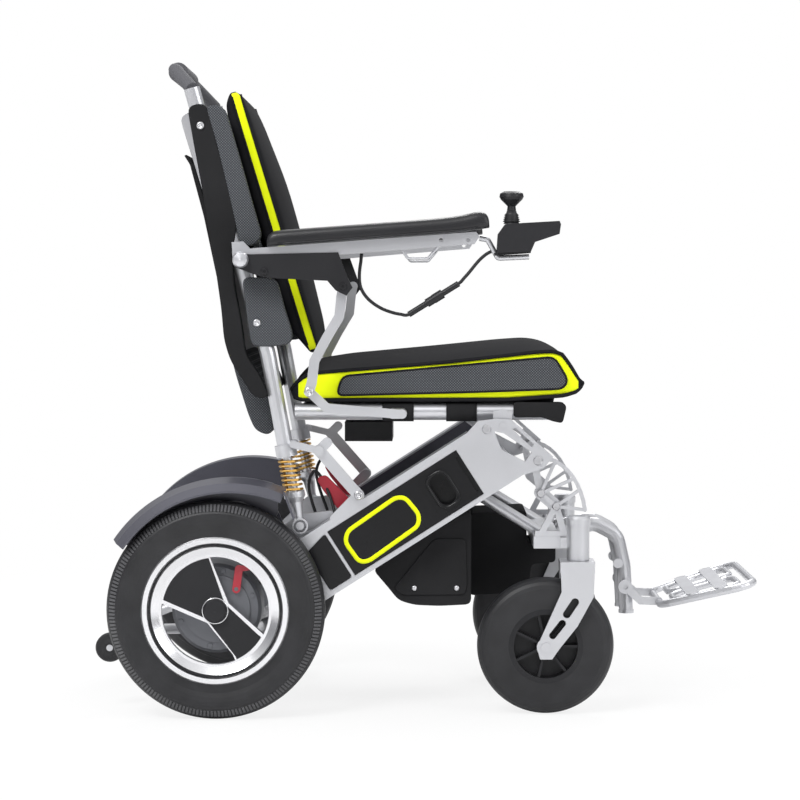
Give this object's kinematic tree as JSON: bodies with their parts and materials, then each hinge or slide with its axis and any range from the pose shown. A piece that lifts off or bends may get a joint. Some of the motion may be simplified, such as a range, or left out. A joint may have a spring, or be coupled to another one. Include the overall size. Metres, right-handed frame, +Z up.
{
  "type": "power wheelchair",
  "caption": "Folding power wheelchair with slanted battery frames, sprung rear wheels, swivel casters, lifting armrests, joystick, padded seat and back, and a flip-up footplate",
  "frame": {"origin": "on the floor under the middle of the chair", "axes": "+X to the front, +Y to the chair's left, +Z up"},
  "size_m": [1.0116, 0.6, 0.987],
  "materials": {
    "silver_metal": "satin anodised and clear-coated aluminium",
    "polished_rim": "machined and polished alloy",
    "dark_slate": "satin slate-grey paint",
    "black_plastic": "fine-grained moulded plastic",
    "black_gloss": "glossy black moulding",
    "rubber": "moulded tyre rubber",
    "black_fabric": "woven nylon",
    "cushion_fabric": "quilted seat fabric with lime and mesh sides",
    "pad_leather": "self-skinned polyurethane, leather grain",
    "spring_gold": "gold powder-coated spring steel",
    "lever_red": "red enamel",
    "motor_grey": "cast alloy, grey",
    "bolt_steel": "zinc-plated steel",
    "handle_foam": "foam grip over painted tube"
  },
  "bodies": {
    "chassis": {"side_frame_right": "silver_metal", "side_frame_left": "silver_metal", "inner_covers": "dark_slate", "cross_tubes": "silver_metal", "front_plates": "silver_metal", "front_brackets": "silver_metal", "caster_heads": "silver_metal", "footrest_hangers": "silver_metal", "storage_bag": "black_fabric", "frame_bolts": "bolt_steel"},
    "carrier": {"axle_carrier": "silver_metal", "motor_right": "motor_grey", "motor_left": "motor_grey", "fender_right": "dark_slate", "fender_left": "dark_slate", "anti_tip_arms": "silver_metal"},
    "clutch_right": {"clutch_lever_right": "lever_red"},
    "clutch_left": {"clutch_lever_left": "lever_red"},
    "anti_tip_right": {"anti_tip_wheel_right": "rubber"},
    "anti_tip_left": {"anti_tip_wheel_left": "rubber"},
    "rear_wheel_right": {"rear_tyre_right": "rubber", "rear_rim_right": "polished_rim", "rim_panel_right": "black_plastic"},
    "rear_wheel_left": {"rear_tyre_left": "rubber", "rear_rim_left": "polished_rim", "rim_panel_left": "black_plastic"},
    "caster_right": {"caster_fork_right": "silver_metal"},
    "caster_left": {"caster_fork_left": "silver_metal"},
    "caster_wheel_right": {"caster_tyre_right": "rubber", "caster_hub_right": "black_plastic"},
    "caster_wheel_left": {"caster_tyre_left": "rubber", "caster_hub_left": "black_plastic"},
    "footrest": {"footplate": "silver_metal"},
    "seat": {"seat_frame": "silver_metal", "seat_sling": "black_fabric", "seat_cushion": "cushion_fabric", "control_box": "black_plastic"},
    "back": {"back_frame": "silver_metal", "push_handle": "handle_foam", "back_sling": "black_fabric", "back_cushion": "cushion_fabric", "shock_springs": "spring_gold"},
    "shock": {"shock_rods": "silver_metal"},
    "link_lower": {"fold_link_lower": "silver_metal"},
    "link_upper": {"fold_link_upper": "silver_metal"},
    "arm_brackets": {"arm_bracket_right": "black_plastic", "arm_bracket_left": "black_plastic"},
    "arm_struts": {"arm_strut_right": "silver_metal", "arm_strut_left": "silver_metal"},
    "arm_right": {"arm_rail_right": "silver_metal", "arm_pad_right": "pad_leather", "controller": "black_plastic", "controller_cord": "black_plastic", "cord_connector": "black_plastic"},
    "arm_left": {"arm_rail_left": "silver_metal", "arm_pad_left": "pad_leather"},
    "battery_right": {"battery_right": "black_gloss"},
    "battery_left": {"battery_left": "black_gloss"},
    "gimbal": {"joystick_ring": "black_plastic"},
    "stick": {"joystick": "black_plastic"}
  },
  "joints": [
    {"name": "rear_swing", "type": "hinge", "parent": "chassis", "child": "carrier", "pos_m": [-0.115, 0, 0.292], "axis": [0, 1, 0], "range_deg": [0, 4], "stiffness_Nm_per_rad": 700, "springref_deg": -14.32},
    {"name": "rear_wheel_spin_right", "type": "hinge", "parent": "carrier", "child": "rear_wheel_right", "pos_m": [-0.3147, -0.27, 0.1625], "axis": [0, 1, 0], "continuous": true},
    {"name": "anti_tip_spin_right", "type": "hinge", "parent": "carrier", "child": "anti_tip_right", "pos_m": [-0.4838, -0.172, 0.093], "axis": [0, 1, 0], "continuous": true},
    {"name": "clutch_lever_right", "type": "hinge", "parent": "carrier", "child": "clutch_right", "pos_m": [-0.2847, -0.266, 0.1925], "axis": [0, 1, 0], "range_deg": [0, 25]},
    {"name": "caster_swivel_right", "type": "hinge", "parent": "chassis", "child": "caster_right", "pos_m": [0.2265, -0.215, 0.26], "axis": [0, 0, 1], "continuous": true},
    {"name": "caster_spin_right", "type": "hinge", "parent": "caster_right", "child": "caster_wheel_right", "pos_m": [0.1775, -0.215, 0.103], "axis": [0, 1, 0], "continuous": true},
    {"name": "rear_wheel_spin_left", "type": "hinge", "parent": "carrier", "child": "rear_wheel_left", "pos_m": [-0.3147, 0.27, 0.1625], "axis": [0, 1, 0], "continuous": true},
    {"name": "anti_tip_spin_left", "type": "hinge", "parent": "carrier", "child": "anti_tip_left", "pos_m": [-0.4838, 0.172, 0.093], "axis": [0, 1, 0], "continuous": true},
    {"name": "clutch_lever_left", "type": "hinge", "parent": "carrier", "child": "clutch_left", "pos_m": [-0.2847, 0.266, 0.1925], "axis": [0, 1, 0], "range_deg": [0, 25]},
    {"name": "caster_swivel_left", "type": "hinge", "parent": "chassis", "child": "caster_left", "pos_m": [0.2265, 0.215, 0.26], "axis": [0, 0, 1], "continuous": true},
    {"name": "caster_spin_left", "type": "hinge", "parent": "caster_left", "child": "caster_wheel_left", "pos_m": [0.1775, 0.215, 0.103], "axis": [0, 1, 0], "continuous": true},
    {"name": "footrest_flip", "type": "hinge", "parent": "chassis", "child": "footrest", "pos_m": [0.308, 0, 0.175], "axis": [0, 1, 0], "range_deg": [-85, 0]},
    {"name": "fold", "type": "hinge", "parent": "chassis", "child": "back", "pos_m": [-0.191, 0, 0.284], "axis": [0, 1, 0], "range_deg": [0, 22]},
    {"name": "seat_tilt", "type": "hinge", "parent": "chassis", "child": "seat", "pos_m": [0.11228, 0, 0.43512], "axis": [0, 1, 0], "range_deg": [-11, 0]},
    {"name": "shock_slide", "type": "slide", "parent": "back", "child": "shock", "axis": [-0.1839, 0, 0.9829], "range_m": [0, 0.0055], "deforming": ["shock_springs"]},
    {"name": "link_lower_turn", "type": "hinge", "parent": "chassis", "child": "link_lower", "pos_m": [-0.103, 0, 0.331], "axis": [0, 1, 0], "range_deg": [0, 32]},
    {"name": "link_upper_turn", "type": "hinge", "parent": "back", "child": "link_upper", "pos_m": [-0.2, 0, 0.407], "axis": [0, 1, 0], "range_deg": [-63, 0]},
    {"name": "arm_bracket_turn", "type": "hinge", "parent": "back", "child": "arm_brackets", "pos_m": [-0.276, 0, 0.682], "axis": [0, 1, 0], "range_deg": [0, 31]},
    {"name": "arm_strut_turn", "type": "hinge", "parent": "seat", "child": "arm_struts", "pos_m": [-0.176, 0, 0.486], "axis": [0, 1, 0], "range_deg": [0, 41]},
    {"name": "arm_lift_right", "type": "hinge", "parent": "arm_brackets", "child": "arm_right", "pos_m": [-0.276, -0.268, 0.682], "axis": [0, 1, 0], "range_deg": [-80, 0]},
    {"name": "arm_lift_left", "type": "hinge", "parent": "arm_brackets", "child": "arm_left", "pos_m": [-0.276, 0.268, 0.682], "axis": [0, 1, 0], "range_deg": [-80, 0]},
    {"name": "battery_slide_right", "type": "slide", "parent": "chassis", "child": "battery_right", "axis": [0, 1, 0], "range_m": [-0.07, 0]},
    {"name": "battery_slide_left", "type": "slide", "parent": "chassis", "child": "battery_left", "axis": [0, -1, 0], "range_m": [-0.07, 0]},
    {"name": "joystick_fore_aft", "type": "hinge", "parent": "arm_right", "child": "gimbal", "pos_m": [0.124, -0.268, 0.723], "axis": [0, 1, 0], "range_deg": [-16, 16], "stiffness_Nm_per_rad": 0.3},
    {"name": "joystick_side", "type": "hinge", "parent": "gimbal", "child": "stick", "pos_m": [0.124, -0.268, 0.723], "axis": [1, 0, 0], "range_deg": [-16, 16], "stiffness_Nm_per_rad": 0.3}
  ],
  "couplings": [
    {"joint": "seat_tilt", "follows": "fold", "ratio": -0.5},
    {"joint": "shock_slide", "follows": "rear_swing", "m_per_rad": 0.0762},
    {"joint": "link_lower_turn", "follows": "fold", "ratio": 1.43},
    {"joint": "link_upper_turn", "follows": "fold", "ratio": -2.82},
    {"joint": "arm_bracket_turn", "follows": "fold", "ratio": 1.37},
    {"joint": "arm_strut_turn", "follows": "fold", "ratio": 1.84}
  ]
}
